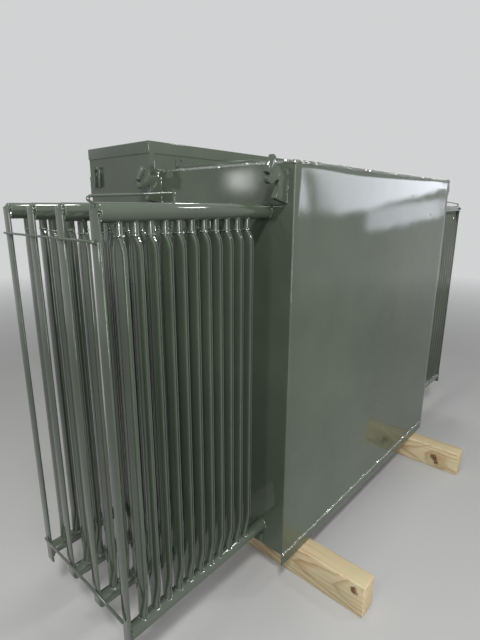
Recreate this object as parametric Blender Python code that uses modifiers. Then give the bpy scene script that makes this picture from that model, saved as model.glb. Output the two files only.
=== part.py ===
# Pad-mounted power transformer on two timbers.
# Units are metres. +Z is up, +Y is the rear, and +X is the side with the left radiators.
# The origin is on the floor, in the middle of the footprint.

import math

import bmesh
import bpy
from mathutils import Matrix, Vector

PART_NAME = "pad_mounted_transformer"

CLEARANCE = 0.0003           # left between pieces that touch
PIPE_SIDES = 12
ROD_RESOLUTION = 2           # eight sides on a thin rod

# Timbers
TIMBER_WIDTH = 0.089
TIMBER_HEIGHT = 0.140
TIMBER_OVERHANG = 0.301      # past the rear wall and past the cabinet front
TIMBER_SHORTFALL = 0.012     # the right timber is this much shorter at the rear
TIMBER_LEFT_INSET = 0.121    # tank side to timber
TIMBER_RIGHT_INSET = 0.090
TIMBER_EDGE = 0.004          # eased edges

# Tank
TANK_WIDTH = 1.540
TANK_DEPTH = 0.695
TANK_HEIGHT = 1.558          # to the top of the cover
TANK_LIP = 0.052             # how far the end plates run below the floor plate
PLATE = 0.006
COVER_THICKNESS = 0.008
COVER_INSET = 0.006          # the cover's edge stands in from the walls
STRIP_WIDTH = 0.075
STRIP_HEIGHT = 0.012
STRIP_LENGTH = 0.408
STRIP_SIDE_INSET = 0.013     # from the tank's left side
STRIP_REAR_INSET = 0.186
STRIP_EDGE = 0.003

# Terminal cabinet
CABINET_DEPTH = 0.465
CABINET_RISE = 0.113         # cabinet lid above the tank cover
CABINET_OVERHANG = 0.046     # lid past each side of the tank
CABINET_SHEET = 0.004
LID_BAND = 0.047
LID_LEDGE = 0.003            # lid past the sheets below it: its own sheet and a clearance
SILL_HEIGHT = 0.100
DOOR_GAP = 0.004             # round each door
HANDLE_WIDTH = 0.040
HANDLE_HEIGHT = 0.180
HANDLE_DEPTH = 0.018
HANDLE_MIDDLE = 0.900        # above the tank's lower edge
HANDLE_INSET = 0.030         # from the door's meeting edge
HANDLE_EDGE = 0.004
BRACKET_WIDTH = 0.050
BRACKET_HEIGHT = 0.090
BRACKET_DEPTH = 0.012
BRACKET_INSET = 0.050        # from the cabinet front
BRACKET_DROP = 0.083         # below the top of the cabinet
BRACKET_EDGE = 0.003

# Radiators
BANK_COUNT = 4
BANK_FIRST = 0.112           # rear wall to the first header
BANK_LAST = 0.073            # last header to the tank's front wall
RIGHT_BANK_SHIFT = 0.015     # the right headers are this much nearer to the front
HEADER_RADIUS = 0.0242
HEADER_TAIL = 0.057          # last element to the header's end
TOP_HEADER_DROP = 0.160      # below the top of the cover
BOTTOM_HEADER = 0.146        # above the tank's lower edge
ELEMENT_COUNT = 11
ELEMENT_FIRST = 0.107        # tank wall to the first element
ELEMENT_PITCH = 0.048
ELEMENT_WIDTH = 0.062
ELEMENT_THICKNESS = 0.015
ELEMENT_POINTS = 6           # points round an element
NECK_WIDTH = 0.026
NECK_THICKNESS = 0.0235
NECK_HEIGHT = 0.033
SHOULDER_HEIGHT = 0.046
FOOT_WIDTH = 0.034
FOOT_THICKNESS = 0.029
FOOT_HEIGHT = 0.018
FOOT_TAPER = 0.085
TAPER_SHARE = 0.72           # width reached half way along a shoulder or a foot

# Straps and rods
STRAP_WIDTH = 0.038
STRAP_THICKNESS = 0.006
STRAP_HEAD = 0.012           # above the top header's middle
STRAP_TAIL = 0.008           # below the bottom header's middle
STRAP_LONG_TAIL = 0.048      # on the first and the last strap
TIE_ROD_RADIUS = 0.004
TIE_ROD_DROP = 0.067         # below the top header's middle
TIE_BAR_WIDTH = 0.014
TIE_BAR_THICKNESS = 0.005
TIE_BAR_RISE = 0.040         # above the bottom header's middle
TIE_BAR_LAP = 0.005          # on the first strap
BENT_ROD_RADIUS = 0.0035
BENT_ROD_RISE = 0.049        # above the top header's middle, at the inner leg
BENT_ROD_FALL = 0.011        # from there to the outer elbow
BENT_ROD_INNER = 0.406       # tank wall to the inner leg
BENT_ROD_LEAN = 0.0153       # outer elbow past the strap
BENT_ROD_CORNER = 0.009

# Lifting hooks
HOOK_THICKNESS = 0.019
HOOK_REAR_INSET = 0.0375     # from the tank's rear wall
HOOK_FRONT_ROOT = 0.010      # the front hooks reach this much further out
HOOK_DROP = 0.136            # hook's lower end below the top of the cover
HOOK_REACH = 0.100
HOOK_RISE = 0.119
HOOK_OUTLINE_SHARES = (
    (0.0, 0.0), (0.64, 0.139), (0.46, 0.454), (0.475, 0.585), (0.56, 0.62), (0.69, 0.555),
    (0.88, 0.496), (0.985, 0.545), (1.0, 0.65), (0.712, 1.0), (0.286, 0.903), (0.0, 0.903),
)
GUARD_WIDTH = 0.020
GUARD_THICKNESS = 0.016
GUARD_LENGTH = 0.060
GUARD_OUT_SHARE = 0.846      # middle of the guard, as shares of the reach and the rise
GUARD_UP_SHARE = 0.972
GUARD_LEAN = math.radians(28.8)

# Places that follow from the sizes
REAR = (TANK_DEPTH + CABINET_DEPTH) / 2
FRONT = -REAR
BASE = TIMBER_HEIGHT + CLEARANCE
TANK_SIDE = TANK_WIDTH / 2
BARRIER = REAR - TANK_DEPTH                      # rear face of the plate behind the cabinet
COVER_TOP = BASE + TANK_HEIGHT
FLOOR_LOW = BASE + TANK_LIP
CABINET_SIDE = TANK_SIDE + CABINET_OVERHANG - LID_LEDGE
CABINET_TOP = COVER_TOP + CABINET_RISE
DOOR_FACE = FRONT + LID_LEDGE
UNDER_LID = CABINET_TOP - LID_LEDGE
BANK_SPAN = TANK_DEPTH - BANK_FIRST - BANK_LAST
BANK_PITCH = BANK_SPAN / (BANK_COUNT - 1)
TOP_HEADER = TANK_HEIGHT - TOP_HEADER_DROP
HEADER_LENGTH = ELEMENT_FIRST + (ELEMENT_COUNT - 1) * ELEMENT_PITCH + HEADER_TAIL
STRAP_INNER = TANK_SIDE + CLEARANCE + HEADER_LENGTH + CLEARANCE
STRAP_OUTER = STRAP_INNER + STRAP_THICKNESS
HOOK_BASE = COVER_TOP - HOOK_DROP
SIDES = (("left", 1), ("right", -1))
BANK_SHIFTS = {"left": 0, "right": RIGHT_BANK_SHIFT}

# Looks
GREEN = (0.042, 0.058, 0.043)
PINE = (0.62, 0.47, 0.25)
PAINT_ROUGHNESS = 0.22
WOOD_ROUGHNESS = 0.75
SMOOTH_ANGLE = math.radians(40)


def clear_scene():
    for old in list(bpy.data.objects):
        bpy.data.objects.remove(old, do_unlink=True)


def new_collection(name):
    collection = bpy.data.collections.new(name)
    bpy.context.scene.collection.children.link(collection)
    return collection


def new_material(name, colour=GREEN, roughness=PAINT_ROUGHNESS):
    """Paint, which is not metallic over the steel, or bare wood."""
    material = bpy.data.materials.new(name)
    material.use_nodes = True
    shader = material.node_tree.nodes["Principled BSDF"]
    shader.inputs["Base Color"].default_value = (*colour, 1)
    shader.inputs["Roughness"].default_value = roughness
    shader.inputs["Metallic"].default_value = 0
    material.diffuse_color = (*colour, 1)
    return material


def add_object(name, mesh, collection=None, **look):
    """An object in the part's collection, with a material of its own."""
    piece = bpy.data.objects.new(name, mesh)
    (collection or PARTS).objects.link(piece)
    if not mesh.materials:
        mesh.materials.append(new_material(name + "_finish", **look))
    return piece


def box_mesh(name, size):
    bm = bmesh.new()
    bmesh.ops.create_cube(bm, size=1)
    bmesh.ops.scale(bm, vec=size, verts=bm.verts)
    mesh = bpy.data.meshes.new(name)
    bm.to_mesh(mesh)
    bm.free()
    return mesh


def add_box(name, low, high, edge=0, **look):
    """A box between two corners, with bevelled edges if edge is not zero."""
    low, high = Vector(low), Vector(high)
    piece = add_object(name, box_mesh(name, high - low), **look)
    piece.location = (low + high) / 2
    if edge:
        bevel = piece.modifiers.new("edges", "BEVEL")
        bevel.width = edge
        bevel.segments = 1
    return piece


def side_box(name, side, low, high, edge=0):
    """A box whose X runs outwards from the middle, on the left or on the right."""
    xs = sorted((side * low[0], side * high[0]))
    return add_box(name, (xs[0], *low[1:]), (xs[1], *high[1:]), edge)


def take_mesh(piece):
    """The evaluated mesh of an object, in world space, with its loose caps welded."""
    bpy.context.view_layer.update()
    shown = piece.evaluated_get(bpy.context.evaluated_depsgraph_get())
    mesh = bpy.data.meshes.new_from_object(shown)
    mesh.transform(piece.matrix_world)
    bm = bmesh.new()
    bm.from_mesh(mesh)
    bmesh.ops.remove_doubles(bm, verts=bm.verts, dist=CLEARANCE / 3)
    bm.to_mesh(mesh)
    bm.free()
    return mesh


def join_by_union(piece, other):
    """Joins other into piece, which is at the origin, with a Boolean union."""
    union = piece.modifiers.new("union", "BOOLEAN")
    union.operation = "UNION"
    union.solver = "EXACT"
    union.object = other
    mesh = take_mesh(piece)
    piece.modifiers.clear()
    old, piece.data = piece.data, mesh
    bpy.data.meshes.remove(old)
    bpy.data.objects.remove(other, do_unlink=True)


def smooth_rounds(mesh):
    mesh.shade_smooth()
    mesh.set_sharp_from_angle(angle=SMOOTH_ANGLE)


def make_timbers():
    look = dict(colour=PINE, roughness=WOOD_ROUGHNESS)
    rear = REAR + TIMBER_OVERHANG
    front = FRONT - TIMBER_OVERHANG
    left = TANK_SIDE - TIMBER_LEFT_INSET
    right = -TANK_SIDE + TIMBER_RIGHT_INSET
    add_box("timber_left", (left - TIMBER_WIDTH, front, 0), (left, rear, TIMBER_HEIGHT),
            TIMBER_EDGE, **look)
    add_box("timber_right", (right, front, 0),
            (right + TIMBER_WIDTH, rear - TIMBER_SHORTFALL, TIMBER_HEIGHT), TIMBER_EDGE, **look)


def make_tank():
    wall_top = COVER_TOP - COVER_THICKNESS - CLEARANCE
    inner_rear = REAR - PLATE - CLEARANCE
    inner_front = BARRIER + CLEARANCE
    add_box("tank_rear_wall", (-TANK_SIDE, REAR - PLATE, BASE), (TANK_SIDE, REAR, wall_top))
    for name, side in SIDES:
        side_box("tank_%s_wall" % name, side, (TANK_SIDE - PLATE, inner_front, FLOOR_LOW),
                 (TANK_SIDE, inner_rear, wall_top))
    floor_side = TANK_SIDE - PLATE - CLEARANCE
    add_box("tank_floor", (-floor_side, inner_front, FLOOR_LOW),
            (floor_side, inner_rear, FLOOR_LOW + PLATE))
    add_box("tank_front_wall", (-CABINET_SIDE, BARRIER - PLATE, BASE),
            (CABINET_SIDE, BARRIER, UNDER_LID))
    cover_side = TANK_SIDE - COVER_INSET
    add_box("tank_cover", (-cover_side, inner_front, COVER_TOP - COVER_THICKNESS),
            (cover_side, REAR - COVER_INSET, COVER_TOP))
    strip_side = TANK_SIDE - STRIP_SIDE_INSET
    strip_rear = REAR - STRIP_REAR_INSET
    strip_low = COVER_TOP + CLEARANCE
    add_box("cover_strip", (strip_side - STRIP_WIDTH, strip_rear - STRIP_LENGTH, strip_low),
            (strip_side, strip_rear, strip_low + STRIP_HEIGHT), STRIP_EDGE)


def make_lid():
    """A shallow box open below, from one sheet."""
    low = Vector((-CABINET_SIDE - LID_LEDGE, FRONT, CABINET_TOP - LID_BAND))
    high = Vector((CABINET_SIDE + LID_LEDGE, BARRIER + LID_LEDGE, CABINET_TOP))
    mesh = box_mesh("cabinet_lid", high - low)
    bm = bmesh.new()
    bm.from_mesh(mesh)
    below = [face for face in bm.faces if face.normal.z < -0.5]
    bmesh.ops.delete(bm, geom=below, context="FACES")
    bm.to_mesh(mesh)
    bm.free()
    lid = add_object("cabinet_lid", mesh)
    lid.location = (low + high) / 2
    sheet = lid.modifiers.new("sheet", "SOLIDIFY")
    sheet.thickness = LID_LEDGE - CLEARANCE
    sheet.offset = -1
    sheet.use_even_offset = True


def make_cabinet():
    sheet_in = DOOR_FACE + CABINET_SHEET
    bracket_seat = CABINET_SIDE + CLEARANCE
    bracket_front = FRONT + BRACKET_INSET
    bracket_top = CABINET_TOP - BRACKET_DROP
    for name, side in SIDES:
        side_box("cabinet_%s_side" % name, side,
                 (CABINET_SIDE - CABINET_SHEET, sheet_in + CLEARANCE, BASE),
                 (CABINET_SIDE, BARRIER - PLATE - CLEARANCE, UNDER_LID))
        side_box("cabinet_%s_door" % name, side,
                 (DOOR_GAP / 2, DOOR_FACE, BASE + SILL_HEIGHT + DOOR_GAP),
                 (CABINET_SIDE, sheet_in, UNDER_LID))
        side_box("lid_bracket_%s" % name, side,
                 (bracket_seat, bracket_front, bracket_top - BRACKET_HEIGHT),
                 (bracket_seat + BRACKET_DEPTH, bracket_front + BRACKET_WIDTH, bracket_top),
                 BRACKET_EDGE)
    add_box("cabinet_sill", (-CABINET_SIDE, DOOR_FACE, BASE),
            (CABINET_SIDE, sheet_in, BASE + SILL_HEIGHT))
    handle_low = BASE + HANDLE_MIDDLE - HANDLE_HEIGHT / 2
    add_box("door_handle",
            (-HANDLE_INSET - HANDLE_WIDTH, DOOR_FACE - CLEARANCE - HANDLE_DEPTH, handle_low),
            (-HANDLE_INSET, DOOR_FACE - CLEARANCE, handle_low + HANDLE_HEIGHT), HANDLE_EDGE)
    make_lid()


def element_rings():
    """Height, thickness and width of each section of a radiator element, from the foot up."""
    neck_low = TOP_HEADER - HEADER_RADIUS - NECK_HEIGHT
    foot_high = BOTTOM_HEADER + HEADER_RADIUS + FOOT_HEIGHT
    foot_mid = FOOT_WIDTH + TAPER_SHARE * (ELEMENT_WIDTH - FOOT_WIDTH)
    neck_mid = NECK_WIDTH + TAPER_SHARE * (ELEMENT_WIDTH - NECK_WIDTH)
    foot_thin = FOOT_THICKNESS + TAPER_SHARE * (ELEMENT_THICKNESS - FOOT_THICKNESS)
    neck_thin = NECK_THICKNESS + TAPER_SHARE * (ELEMENT_THICKNESS - NECK_THICKNESS)
    return (
        (BOTTOM_HEADER, FOOT_THICKNESS, FOOT_WIDTH),
        (foot_high, FOOT_THICKNESS, FOOT_WIDTH),
        (foot_high + FOOT_TAPER / 2, foot_thin, foot_mid),
        (foot_high + FOOT_TAPER, ELEMENT_THICKNESS, ELEMENT_WIDTH),
        (neck_low - SHOULDER_HEIGHT, ELEMENT_THICKNESS, ELEMENT_WIDTH),
        (neck_low - SHOULDER_HEIGHT / 2, neck_thin, neck_mid),
        (neck_low, NECK_THICKNESS, NECK_WIDTH),
        (TOP_HEADER, NECK_THICKNESS, NECK_WIDTH),
    )


def element_mesh():
    """All the elements of one radiator: flat oval tubes lofted from neck to foot."""
    bm = bmesh.new()
    point_turn = math.sin(2 * math.pi / ELEMENT_POINTS)
    for index in range(ELEMENT_COUNT):
        out = ELEMENT_FIRST + index * ELEMENT_PITCH
        below = None
        for height, thickness, width in element_rings():
            ring = bmesh.ops.create_circle(bm, segments=ELEMENT_POINTS, radius=0.5)["verts"]
            bmesh.ops.scale(bm, vec=(thickness / point_turn, width, 1), verts=ring)
            bmesh.ops.translate(bm, vec=(out, 0, height), verts=ring)
            edges = [edge for edge in bm.edges if all(v in ring for v in edge.verts)]
            if below:
                bmesh.ops.bridge_loops(bm, edges=below + edges)
            else:
                bmesh.ops.contextual_create(bm, geom=edges)
            below = edges
        bmesh.ops.contextual_create(bm, geom=below)
    bmesh.ops.recalc_face_normals(bm, faces=bm.faces)
    mesh = bpy.data.meshes.new("elements")
    bm.to_mesh(mesh)
    bm.free()
    return mesh


def header_mesh():
    """The top and the bottom header of one radiator, running outwards along X."""
    bm = bmesh.new()
    for height in (TOP_HEADER, BOTTOM_HEADER):
        pipe = bmesh.ops.create_cone(bm, cap_ends=True, segments=PIPE_SIDES,
                                     radius1=HEADER_RADIUS, radius2=HEADER_RADIUS,
                                     depth=HEADER_LENGTH)["verts"]
        bmesh.ops.rotate(bm, verts=pipe, matrix=Matrix.Rotation(math.pi / 2, 3, "Y"))
        bmesh.ops.translate(bm, verts=pipe, vec=(HEADER_LENGTH / 2, 0, height))
    mesh = bpy.data.meshes.new("headers")
    bm.to_mesh(mesh)
    bm.free()
    return mesh


def bank_middle(side_name, bank):
    return REAR - BANK_FIRST - BANK_SHIFTS[side_name] - bank * BANK_PITCH


def make_radiators():
    first = add_object("radiator_left_1", header_mesh())
    elements = add_object("elements", element_mesh(), CUTTERS)
    elements.hide_render = True
    elements.display_type = "WIRE"
    join_by_union(first, elements)
    smooth_rounds(first.data)
    for name, side in SIDES:
        for bank in range(BANK_COUNT):
            label = "radiator_%s_%d" % (name, bank + 1)
            piece = bpy.data.objects.get(label) or add_object(label, first.data)
            piece.location = (side * (TANK_SIDE + CLEARANCE),
                              bank_middle(name, bank), BASE)
            piece.rotation_euler.z = 0 if side > 0 else math.pi


def make_straps():
    for name, side in SIDES:
        for bank in range(BANK_COUNT):
            middle = bank_middle(name, bank)
            tail = STRAP_LONG_TAIL if bank in (0, BANK_COUNT - 1) else STRAP_TAIL
            side_box("strap_%s_%d" % (name, bank + 1), side,
                     (STRAP_INNER, middle - STRAP_WIDTH / 2, BASE + BOTTOM_HEADER - tail),
                     (STRAP_OUTER, middle + STRAP_WIDTH / 2, BASE + TOP_HEADER + STRAP_HEAD))


def add_rod(name, points, radius):
    """A rod along a list of points, with closed ends."""
    path = bpy.data.curves.new(name, "CURVE")
    path.dimensions = "3D"
    path.bevel_depth = radius
    path.bevel_resolution = ROD_RESOLUTION
    path.use_fill_caps = True
    spline = path.splines.new("POLY")
    spline.points.add(len(points) - 1)
    for point, place in zip(spline.points, points):
        point.co = (*place, 1)
    path.materials.append(new_material(name + "_finish"))
    PARTS.objects.link(bpy.data.objects.new(name, path))


def make_rods():
    out = STRAP_OUTER + CLEARANCE
    rod_height = BASE + TOP_HEADER - TIE_ROD_DROP
    bar_middle = BASE + BOTTOM_HEADER + TIE_BAR_RISE
    for name, side in SIDES:
        first = bank_middle(name, 0)
        last = bank_middle(name, BANK_COUNT - 1)
        axis = side * (out + TIE_ROD_RADIUS)
        add_rod("tie_rod_" + name,
                ((axis, first, rod_height), (axis, last - STRAP_WIDTH / 2, rod_height)),
                TIE_ROD_RADIUS)
        side_box("tie_bar_" + name, side,
                 (out, last - STRAP_WIDTH / 2, bar_middle - TIE_BAR_WIDTH / 2),
                 (out + TIE_BAR_THICKNESS, first - STRAP_WIDTH / 2 + TIE_BAR_LAP,
                  bar_middle + TIE_BAR_WIDTH / 2))
        make_bent_rod(name, side, first)


def make_bent_rod(name, side, middle):
    """From the top of the first strap out, up and back in to a leg on the first header."""
    leg = STRAP_INNER + BENT_ROD_RADIUS
    run = BASE + TOP_HEADER + BENT_ROD_RISE
    elbow = leg + BENT_ROD_LEAN
    elbow_height = run - BENT_ROD_FALL
    inner = TANK_SIDE + BENT_ROD_INNER
    header_top = BASE + TOP_HEADER + HEADER_RADIUS + CLEARANCE
    strap_top = BASE + TOP_HEADER + STRAP_HEAD
    places = (
        (leg, strap_top + CLEARANCE),
        (leg, strap_top + BENT_ROD_CORNER),
        (elbow, elbow_height - BENT_ROD_CORNER),
        (elbow - BENT_ROD_CORNER, elbow_height),
        (inner + BENT_ROD_CORNER, run),
        (inner, run - BENT_ROD_CORNER),
        (inner, header_top),
    )
    add_rod("bent_rod_" + name, [(side * x, middle, z) for x, z in places], BENT_ROD_RADIUS)


def hook_mesh(root):
    """A hook plate with its slanted guard, reaching out along X from the tank wall, past its root."""
    outline = bpy.data.curves.new("hook_outline", "CURVE")
    outline.dimensions = "2D"
    outline.fill_mode = "BOTH"
    outline.extrude = HOOK_THICKNESS / 2
    spline = outline.splines.new("POLY")
    spline.points.add(len(HOOK_OUTLINE_SHARES) - 1)
    for point, (out, up) in zip(spline.points, HOOK_OUTLINE_SHARES):
        point.co = ((root if out else 0) + out * HOOK_REACH, up * HOOK_RISE, 0, 1)
    spline.use_cyclic_u = True
    shape = bpy.data.objects.new("hook_outline", outline)
    CUTTERS.objects.link(shape)
    shape.rotation_euler.x = math.pi / 2
    plate = add_object("hook_plate", take_mesh(shape), CUTTERS)
    bpy.data.objects.remove(shape, do_unlink=True)
    guard = add_object("hook_guard", box_mesh("guard", (GUARD_THICKNESS, GUARD_WIDTH, GUARD_LENGTH)),
                       CUTTERS)
    guard.location = (root + HOOK_REACH * GUARD_OUT_SHARE, 0, HOOK_RISE * GUARD_UP_SHARE)
    guard.rotation_euler.y = -GUARD_LEAN
    join_by_union(plate, guard)
    mesh = plate.data
    bpy.data.objects.remove(plate, do_unlink=True)
    return mesh


def make_hooks():
    front_middle = BARRIER + CLEARANCE + GUARD_WIDTH / 2
    places = (
        ("rear", REAR - HOOK_REAR_INSET, hook_mesh(root=0)),
        ("front", front_middle, hook_mesh(root=HOOK_FRONT_ROOT)),
    )
    for name, side in SIDES:
        for place, middle, mesh in places:
            hook = add_object("lifting_hook_%s_%s" % (name, place), mesh)
            hook.location = (side * (TANK_SIDE + CLEARANCE), middle, HOOK_BASE)
            hook.rotation_euler.z = 0 if side > 0 else math.pi


clear_scene()
PARTS = new_collection(PART_NAME)
CUTTERS = new_collection("cutters")
make_timbers()
make_tank()
make_cabinet()
make_radiators()
make_straps()
make_rods()
make_hooks()
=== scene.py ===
# Pad-mounted power transformer on two timbers: its looks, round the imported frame.
# Units are metres and +Z is up. The left radiators are on +X, the tank's rear wall is on +Y
# and the terminal cabinet is on -Y.

import math
import random

import bmesh
import bpy
from mathutils import Matrix, Quaternion, Vector, noise


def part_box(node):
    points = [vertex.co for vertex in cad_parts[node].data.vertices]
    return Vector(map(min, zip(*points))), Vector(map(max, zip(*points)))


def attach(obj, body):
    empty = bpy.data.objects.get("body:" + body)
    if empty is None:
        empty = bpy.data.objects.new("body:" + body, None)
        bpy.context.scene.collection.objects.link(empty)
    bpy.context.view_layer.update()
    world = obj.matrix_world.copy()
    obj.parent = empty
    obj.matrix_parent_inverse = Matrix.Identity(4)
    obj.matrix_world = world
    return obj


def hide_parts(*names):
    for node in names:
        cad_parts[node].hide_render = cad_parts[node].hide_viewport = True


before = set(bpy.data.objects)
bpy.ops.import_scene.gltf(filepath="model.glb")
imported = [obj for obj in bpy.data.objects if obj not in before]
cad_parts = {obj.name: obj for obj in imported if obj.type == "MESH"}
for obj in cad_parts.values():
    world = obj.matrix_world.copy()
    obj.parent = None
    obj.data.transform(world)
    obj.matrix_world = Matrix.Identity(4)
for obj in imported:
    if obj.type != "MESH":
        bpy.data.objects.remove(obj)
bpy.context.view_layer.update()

sides = {"left": 1, "right": -1}
bankNumbers = (1, 2, 3, 4)
xAxis, yAxis, zAxis = Vector((1, 0, 0)), Vector((0, 1, 0)), Vector((0, 0, 1))

coverLow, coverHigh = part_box("tank_cover")
rearLow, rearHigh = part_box("tank_rear_wall")
barrierLow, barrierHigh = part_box("tank_front_wall")
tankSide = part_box("tank_left_wall")[1].x
rearFace, tankFoot, wallTop = rearHigh.y, rearLow.z, rearHigh.z


# Camera

cameraView = {
    "place": (1.9674, 1.4115, 1.5535),
    "turnDegrees": (75.310, -0.190, 131.693),
    "lens": 24.36,
    "sensor": 36.0,               # on the picture's long side
}


def addObject(name, data):
    made = bpy.data.objects.new(name, data)
    bpy.context.scene.collection.objects.link(made)
    return made


def setCamera(view):
    data = bpy.data.cameras.new("photo_camera")
    data.lens = view["lens"]
    data.sensor_width = view["sensor"]
    data.clip_start, data.clip_end = 0.05, 100
    camera = addObject("photo_camera", data)
    camera.location = view["place"]
    camera.rotation_euler = [math.radians(turn) for turn in view["turnDegrees"]]
    bpy.context.scene.camera = camera


setCamera(cameraView)
print("camera set")


# Node helpers

def feed(tree, socket, value):                        # value is a link, a number or a tuple
    if isinstance(value, bpy.types.NodeSocket):
        tree.links.new(value, socket)
    else:
        socket.default_value = value


def addNode(tree, kind, values=None, **settings):     # values go to the sockets, settings to the node
    node = tree.nodes.new("ShaderNode" + kind)
    for name, value in settings.items():
        setattr(node, name, value)
    for name, value in (values or {}).items():
        feed(tree, node.inputs[name], value)
    return node


def startMaterial(name):
    look = bpy.data.materials.new(name)
    look.use_nodes = True
    tree = look.node_tree
    return look, tree, tree.nodes["Principled BSDF"], addNode(tree, "TexCoord").outputs["Object"]


def rampNode(tree, source, stops):                    # stops are (place, colour) pairs
    ramp = addNode(tree, "ValToRGB", {"Fac": source})
    while len(ramp.color_ramp.elements) < len(stops):
        ramp.color_ramp.elements.new(0.5)
    for element, (place, colour) in zip(ramp.color_ramp.elements, stops):
        element.position = place
        element.color = (*colour, 1)
    return ramp.outputs["Color"]


def noiseNode(tree, place, scale, detail=2.0, rough=0.5):
    values = {"Vector": place, "Scale": scale, "Detail": detail, "Roughness": rough}
    return addNode(tree, "TexNoise", values).outputs["Fac"]


def bumpNode(tree, height, depth, under=None):
    made = addNode(tree, "Bump", {"Height": height, "Distance": depth})
    if under:
        tree.links.new(under, made.inputs["Normal"])
    return made.outputs["Normal"]


def spreadNode(tree, source, low, high, start=0.3, end=0.7):
    values = {"Value": source, "From Min": start, "From Max": end, "To Min": low, "To Max": high}
    return addNode(tree, "MapRange", values).outputs["Result"]


def mixColours(tree, share, first, second):
    mix = addNode(tree, "Mix", data_type="RGBA")
    for index, value in ((0, share), (6, first), (7, second)):
        feed(tree, mix.inputs[index], (*value, 1) if isinstance(value, tuple) else value)
    return mix.outputs[2]


def mixShaders(tree, share, first, second):
    mix = addNode(tree, "MixShader")
    for socket, value in zip(mix.inputs, (share, first, second)):
        tree.links.new(value, socket)
    return mix.outputs["Shader"]


def mathNode(tree, operation, *values):
    made = addNode(tree, "Math", operation=operation)
    for socket, value in zip(made.inputs, values):
        feed(tree, socket, value)
    return made.outputs["Value"]


def vectorNode(tree, operation, *values):
    made = addNode(tree, "VectorMath", operation=operation)
    for socket, value in zip(made.inputs, values):
        feed(tree, socket, value)
    return made.outputs["Value" if operation == "LENGTH" else "Vector"]


# Enamel

enamelLook = {
    "deep": (0.058, 0.074, 0.053),
    "fresh": (0.080, 0.101, 0.072),
    "toneScale": 1.7,
    "toneStops": (0.36, 0.66),
    "gloss": (0.025, 0.08),       # roughness from the wettest to the driest spray
    "glossScale": 6.0,
    "peelScale": 330.0,           # orange peel, about 3 mm
    "peelDepth": 0.00006,
    "gritScale": 420.0,
}


# paintedShade scales the paint's colour down: painted shade, for parts in the one paint that sit in shade
def makeEnamel(name, paintedShade=1.0, sag=0.0, sagScale=5.0, peel=1.0, grit=0.0, index=1.52):
    look, tree, shader, place = startMaterial(name)
    tone = noiseNode(tree, place, enamelLook["toneScale"], 4.0, 0.6)
    colours = [[part * paintedShade for part in enamelLook[key]] for key in ("deep", "fresh")]
    colour = rampNode(tree, tone, list(zip(enamelLook["toneStops"], colours)))
    wet = noiseNode(tree, place, enamelLook["glossScale"], 3.0, 0.6)
    normal = bumpNode(tree, noiseNode(tree, place, enamelLook["peelScale"], 1.0),
                      enamelLook["peelDepth"] * peel)
    if sag:
        normal = bumpNode(tree, noiseNode(tree, place, sagScale, 1.0), sag, normal)
    if grit:
        gritNoise = noiseNode(tree, place, enamelLook["gritScale"], 3.0, 0.7)
        normal = bumpNode(tree, gritNoise, grit, normal)
    feed(tree, shader.inputs["Base Color"], colour)
    feed(tree, shader.inputs["Roughness"], spreadNode(tree, wet, *enamelLook["gloss"]))
    feed(tree, shader.inputs["Normal"], normal)
    shader.inputs["IOR"].default_value = index
    return look


sheetEnamel = makeEnamel("sheet_enamel", sag=0.0009)
# the pipe and pressed copies are the tank's paint darkened by painted shade, for the radiators, straps,
# rods, hooks and fittings
pipeEnamel = makeEnamel("pipe_enamel", paintedShade=0.86, peel=1.2, index=1.6)
pressedEnamel = makeEnamel("pressed_enamel", paintedShade=0.84, sag=0.0006, sagScale=14.0, index=1.65)
weldEnamel = makeEnamel("weld_enamel", grit=0.0002, index=2.8)     # thick and wet over the lumps
print("enamel mixed")


# Pine

pineLook = {
    "early": (0.60, 0.485, 0.31),
    "late": (0.40, 0.27, 0.135),
    "streak": (0.29, 0.175, 0.075),
    "green": (0.47, 0.46, 0.27),
    "knot": (0.20, 0.10, 0.04),
    "crack": (0.022, 0.012, 0.007),
    "ringScale": 56.0,            # about 6 mm from ring to ring
    "stretch": (1.0, 0.10, 1.0),  # the grain runs along Y
    "taper": 0.30,                # turns the rings a little, which gives the long pointed arches
    "dryness": 0.74,
    "fibreDepth": 0.0006,
    "ringDepth": 0.0004,
}


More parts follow.
